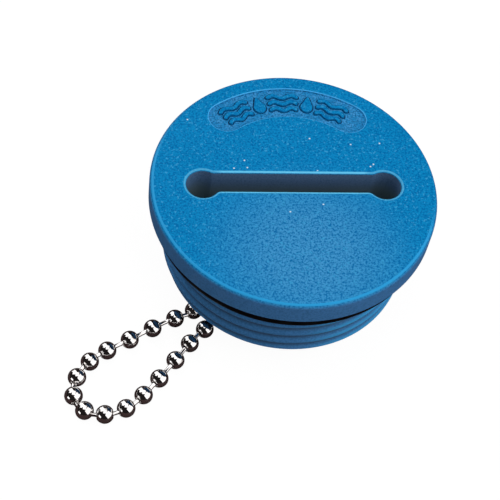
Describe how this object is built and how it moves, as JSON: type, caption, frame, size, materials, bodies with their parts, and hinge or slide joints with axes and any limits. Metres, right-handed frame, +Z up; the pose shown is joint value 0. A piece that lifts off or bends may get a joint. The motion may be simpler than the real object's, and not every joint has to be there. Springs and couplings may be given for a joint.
{
  "type": "deck fill cap",
  "caption": "Screw-in plastic cap for a boat deck filler, with a key slot, a rubber seal ring and a retaining loop of ball chain.",
  "frame": {"origin": "middle of the foot of the chain lug, on the screw axis, where the loose cap stands on a surface", "axes": "+Z up along the screw axis, out of the deck; the key slot runs along X; the arched panel is on the +Y side; the chain loop lies out towards -X and -Y"},
  "size_m": [0.0771, 0.0715, 0.0268],
  "materials": {
    "cap_plastic": "fine-grained matt blue moulding",
    "seal_rubber": "smooth black rubber",
    "chain_metal": "bright plated"
  },
  "bodies": {
    "cap": {"cap_body": "cap_plastic", "seal_ring": "seal_rubber"},
    "chain_inner": {"chain_bead_01": "chain_metal", "chain_bead_02": "chain_metal", "chain_bead_03": "chain_metal", "chain_bead_04": "chain_metal", "chain_bead_05": "chain_metal", "chain_bead_06": "chain_metal", "chain_bead_07": "chain_metal", "chain_bead_22": "chain_metal", "chain_bead_23": "chain_metal", "chain_bead_24": "chain_metal", "chain_bead_25": "chain_metal", "chain_bead_26": "chain_metal", "chain_bead_27": "chain_metal", "chain_bead_28": "chain_metal", "chain_link_01": "chain_metal", "chain_link_02": "chain_metal", "chain_link_03": "chain_metal", "chain_link_04": "chain_metal", "chain_link_05": "chain_metal", "chain_link_06": "chain_metal", "chain_link_22": "chain_metal", "chain_link_23": "chain_metal", "chain_link_25": "chain_metal", "chain_link_26": "chain_metal", "chain_link_27": "chain_metal", "chain_link_28": "chain_metal"},
    "chain_outer_1": {"chain_bead_08": "chain_metal", "chain_bead_21": "chain_metal", "chain_link_07": "chain_metal", "chain_link_21": "chain_metal"},
    "chain_outer_2": {"chain_bead_09": "chain_metal", "chain_bead_20": "chain_metal", "chain_link_08": "chain_metal", "chain_link_20": "chain_metal"},
    "chain_outer_3": {"chain_bead_10": "chain_metal", "chain_bead_19": "chain_metal", "chain_link_09": "chain_metal", "chain_link_19": "chain_metal"},
    "chain_outer_4": {"chain_bead_11": "chain_metal", "chain_bead_18": "chain_metal", "chain_link_10": "chain_metal", "chain_link_18": "chain_metal"},
    "chain_outer_5": {"chain_bead_12": "chain_metal", "chain_bead_13": "chain_metal", "chain_bead_14": "chain_metal", "chain_bead_15": "chain_metal", "chain_bead_16": "chain_metal", "chain_bead_17": "chain_metal", "chain_link_11": "chain_metal", "chain_link_12": "chain_metal", "chain_link_13": "chain_metal", "chain_link_14": "chain_metal", "chain_link_15": "chain_metal", "chain_link_16": "chain_metal", "chain_link_17": "chain_metal"},
    "connector": {"chain_connector": "chain_metal"}
  },
  "joints": [
    {"name": "chain_swing", "type": "hinge", "parent": "cap", "child": "chain_inner", "pos_m": [0, 0, 0.0038], "axis": [0, 0, 1], "range_deg": [-25, 25]},
    {"name": "chain_fold_1", "type": "hinge", "parent": "chain_inner", "child": "chain_outer_1", "pos_m": [-0.02024, -0.01842, 0.00184], "axis": [-0.423, 0.9061, -0.0071], "range_deg": [0, 18]},
    {"name": "chain_fold_2", "type": "hinge", "parent": "chain_outer_1", "child": "chain_outer_2", "pos_m": [-0.02389, -0.0211, 0.00192], "axis": [-0.4497, 0.8932, 0.0019], "range_deg": [0, 18]},
    {"name": "chain_fold_3", "type": "hinge", "parent": "chain_outer_2", "child": "chain_outer_3", "pos_m": [-0.02782, -0.02441, 0.00189], "axis": [-0.5202, 0.854, -0.0003], "range_deg": [0, 18]},
    {"name": "chain_fold_4", "type": "hinge", "parent": "chain_outer_3", "child": "chain_outer_4", "pos_m": [-0.03198, -0.02793, 0.0019], "axis": [-0.5455, 0.8381, 0.0001], "range_deg": [0, 18]},
    {"name": "chain_fold_5", "type": "hinge", "parent": "chain_outer_4", "child": "chain_outer_5", "pos_m": [-0.03601, -0.03111, 0.0019], "axis": [-0.5742, 0.8187, 0], "range_deg": [0, 18]},
    {"name": "connector_spin", "type": "hinge", "parent": "chain_inner", "child": "connector", "pos_m": [-0.00683, -0.01455, 0.00351], "axis": [0.9427, 0.3165, 0.1055], "continuous": true}
  ]
}
